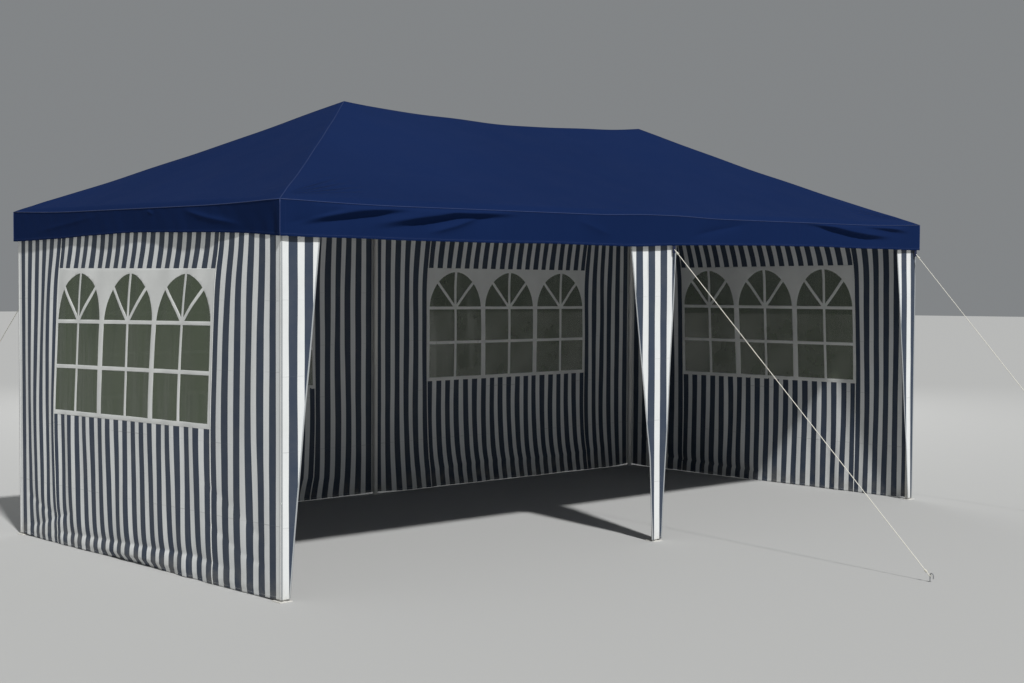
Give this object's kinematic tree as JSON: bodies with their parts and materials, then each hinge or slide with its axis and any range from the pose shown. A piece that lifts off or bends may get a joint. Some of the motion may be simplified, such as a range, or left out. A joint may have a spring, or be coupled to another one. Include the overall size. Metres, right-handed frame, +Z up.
{
  "type": "marquee tent",
  "caption": "Hipped party marquee with an open front, striped walls with arched windows, a white tube frame and guy ropes.",
  "frame": {"origin": "centre of the footprint on the ground, under the foot plates", "axes": "+X along the long open front, to the right as seen from outside the front; +Y from the front to the back; +Z up"},
  "size_m": [6.0936, 7.121, 2.92],
  "materials": {
    "white_steel": "semi-gloss white paint",
    "navy_cloth": "coated woven sheet, slight sheen",
    "striped_cloth": "coated woven sheet with white and slate blue stripes",
    "window_film": "clear flexible film with a faint green-grey tint",
    "rope": "braided off-white cord",
    "peg_steel": "plain galvanised rod"
  },
  "bodies": {
    "root": {"leg_front_left": "white_steel", "leg_front_mid": "white_steel", "leg_front_right": "white_steel", "leg_back_left": "white_steel", "leg_back_mid": "white_steel", "leg_back_right": "white_steel", "joint_front_left": "white_steel", "joint_front_mid": "white_steel", "joint_front_right": "white_steel", "joint_back_left": "white_steel", "joint_back_mid": "white_steel", "joint_back_right": "white_steel", "rail_front_left": "white_steel", "rail_front_right": "white_steel", "rail_back_left": "white_steel", "rail_back_right": "white_steel", "rail_left": "white_steel", "rail_right": "white_steel", "rafter_front_left": "white_steel", "rafter_front_mid_left": "white_steel", "rafter_front_mid_right": "white_steel", "rafter_front_right": "white_steel", "rafter_back_left": "white_steel", "rafter_back_mid_left": "white_steel", "rafter_back_mid_right": "white_steel", "rafter_back_right": "white_steel", "crown_left": "white_steel", "crown_right": "white_steel", "roof_canopy": "navy_cloth", "valance_front": "navy_cloth", "valance_back": "navy_cloth", "valance_left": "navy_cloth", "valance_right": "navy_cloth", "wall_left": "striped_cloth", "wall_right": "striped_cloth", "wall_back_left": "striped_cloth", "wall_back_right": "striped_cloth", "window_left": "window_film", "window_right": "window_film", "window_back_left": "window_film", "window_back_right": "window_film", "strip_left": "striped_cloth", "strip_mid": "striped_cloth", "strip_right": "striped_cloth", "rope_front_mid": "rope", "rope_front_right": "rope", "rope_back_mid": "rope", "rope_back_left": "rope", "peg_front_mid": "peg_steel", "peg_front_right": "peg_steel", "peg_back_mid": "peg_steel", "peg_back_left": "peg_steel"}
  },
  "joints": []
}
